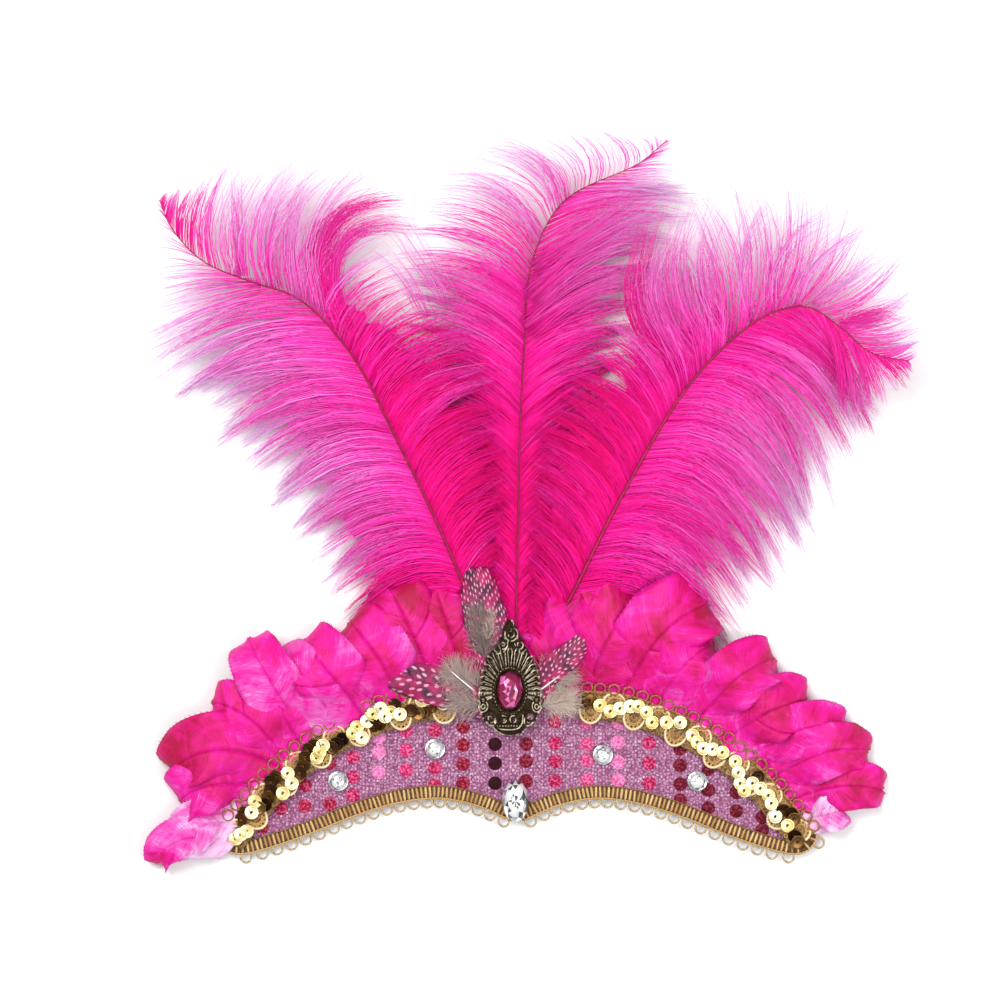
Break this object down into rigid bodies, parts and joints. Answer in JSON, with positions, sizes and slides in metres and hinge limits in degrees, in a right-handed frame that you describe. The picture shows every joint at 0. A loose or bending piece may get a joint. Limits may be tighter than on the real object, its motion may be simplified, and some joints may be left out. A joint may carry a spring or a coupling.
{
  "type": "carnival feather headdress",
  "caption": "Crescent fabric band edged with gold braid, sequins and glass stones, with a bronze brooch, goose feather fringe and tall ostrich plumes, lying on its back.",
  "frame": {"origin": "middle of the footprint, on the surface that the headdress lies on", "axes": "+X across the band, to the right as seen from its front; +Y up the plumes; +Z out of the front, away from the surface it lies on"},
  "size_m": [0.3468, 0.3406, 0.0348],
  "materials": {
    "band_fabric": "coarse woven fabric with foil dots",
    "gold_braid": "woven metallic gimp braid",
    "gold_sequin": "metallised cup sequins",
    "goose_feather": "dyed satin feather",
    "ostrich_feather": "dyed fluffy feather",
    "guinea_feather": "spotted feather with pale fluff",
    "antique_bronze": "antiqued cast filigree",
    "pink_glass": "cut and polished",
    "clear_glass": "cut, polished and foil backed"
  },
  "bodies": {
    "root": {"band": "band_fabric", "lower_braid": "gold_braid", "upper_braid_left": "gold_braid", "upper_braid_right": "gold_braid", "sequin_string_left": "gold_sequin", "sequin_string_right": "gold_sequin", "goose_fringe_left": "goose_feather", "goose_fringe_right": "goose_feather", "plume_left": "ostrich_feather", "plume_centre": "ostrich_feather", "plume_right": "ostrich_feather", "guinea_feather_left": "guinea_feather", "guinea_feather_top": "guinea_feather", "guinea_feather_right": "guinea_feather", "brooch": "antique_bronze", "brooch_stone": "pink_glass", "oval_stone": "clear_glass", "round_stone_1": "clear_glass", "round_stone_2": "clear_glass", "round_stone_3": "clear_glass", "round_stone_4": "clear_glass"}
  },
  "joints": []
}
